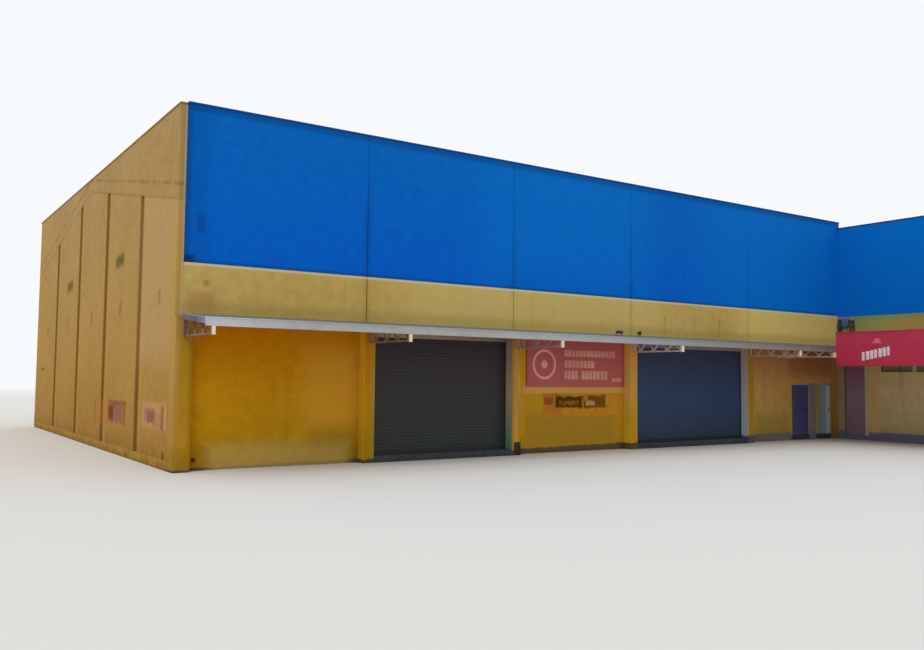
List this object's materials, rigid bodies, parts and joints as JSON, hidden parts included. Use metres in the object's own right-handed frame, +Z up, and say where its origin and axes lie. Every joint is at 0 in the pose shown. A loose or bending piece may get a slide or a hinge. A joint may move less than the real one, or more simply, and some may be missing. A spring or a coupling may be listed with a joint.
{
  "type": "warehouse",
  "caption": "Walled warehouse hall with a side wing, flat parapets, roller shutters, a bracketed canopy and hinged personnel doors.",
  "frame": {"origin": "front left corner of the hall at ground level", "axes": "+X along the front to the right, +Y into the hall, +Z up"},
  "size_m": [38.38, 32.64, 9.4],
  "materials": {
    "mustard_wall": "matt masonry paint, mustard yellow, dusty and streaked",
    "blue_wall": "matt masonry paint, strong blue, lightly faded",
    "bare_concrete": "bare grey concrete",
    "roof_sheet": "weathered grey fibre cement",
    "grey_metal": "galvanised sheet, dull",
    "pale_metal": "off-white paint, dusty",
    "dark_metal": "dark grey paint, half matt",
    "dark_blue_metal": "dark blue paint",
    "light_blue_metal": "pale blue grey paint",
    "red_board": "red painted sheet",
    "window_glass": "dark tinted glass"
  },
  "bodies": {
    "building": {"front_columns": "mustard_wall", "front_lintels": "mustard_wall", "front_wall_bays": "mustard_wall", "door_bay_piers": "mustard_wall", "door_bay_wall_over": "mustard_wall", "front_band_panels": "mustard_wall", "front_blue_panels": "blue_wall", "left_wall_bays": "mustard_wall", "left_wall_columns": "mustard_wall", "left_parapet": "mustard_wall", "back_wall_bays": "mustard_wall", "back_wall_columns": "mustard_wall", "back_parapet": "mustard_wall", "right_wall": "mustard_wall", "hall_floor": "bare_concrete", "door_thresholds": "bare_concrete", "roof_rafters": "bare_concrete", "roof_gutters": "grey_metal", "roof_purlins": "bare_concrete", "roof_sheets_front": "roof_sheet", "roof_sheets_back": "roof_sheet", "parapet_copings": "grey_metal", "canopy_deck": "pale_metal", "canopy_fascia": "pale_metal", "canopy_brackets": "pale_metal", "roller_curtains": "dark_metal", "roller_bottom_bars": "dark_metal", "roller_guides": "dark_metal", "roller_housings": "grey_metal", "door_jambs": "pale_metal", "door_heads": "pale_metal", "sign_board": "red_board", "wing_floor": "bare_concrete", "wing_facade_wall": "mustard_wall", "wing_service_door": "dark_metal", "wing_ribbon_windows": "window_glass", "wing_end_wall": "mustard_wall", "wing_blue_panels": "blue_wall", "wing_side_wall": "mustard_wall", "wing_back_wall": "mustard_wall", "wing_roof_sheets": "roof_sheet", "wing_roof_joists": "bare_concrete", "wing_canopy_deck": "pale_metal", "wing_fascia": "red_board", "wing_canopy_arms": "grey_metal"},
    "left_door": {"door_leaf_left": "dark_blue_metal"},
    "right_door": {"door_leaf_right": "light_blue_metal"}
  },
  "joints": [
    {"name": "left_door_hinge", "type": "hinge", "parent": "building", "child": "left_door", "pos_m": [25.5125, 0.32, 0.21], "axis": [0, 0, -1], "range_deg": [0, 95]},
    {"name": "right_door_hinge", "type": "hinge", "parent": "building", "child": "right_door", "pos_m": [27.2225, 0.32, 0.21], "axis": [0, 0, -1], "range_deg": [0, 95]}
  ]
}
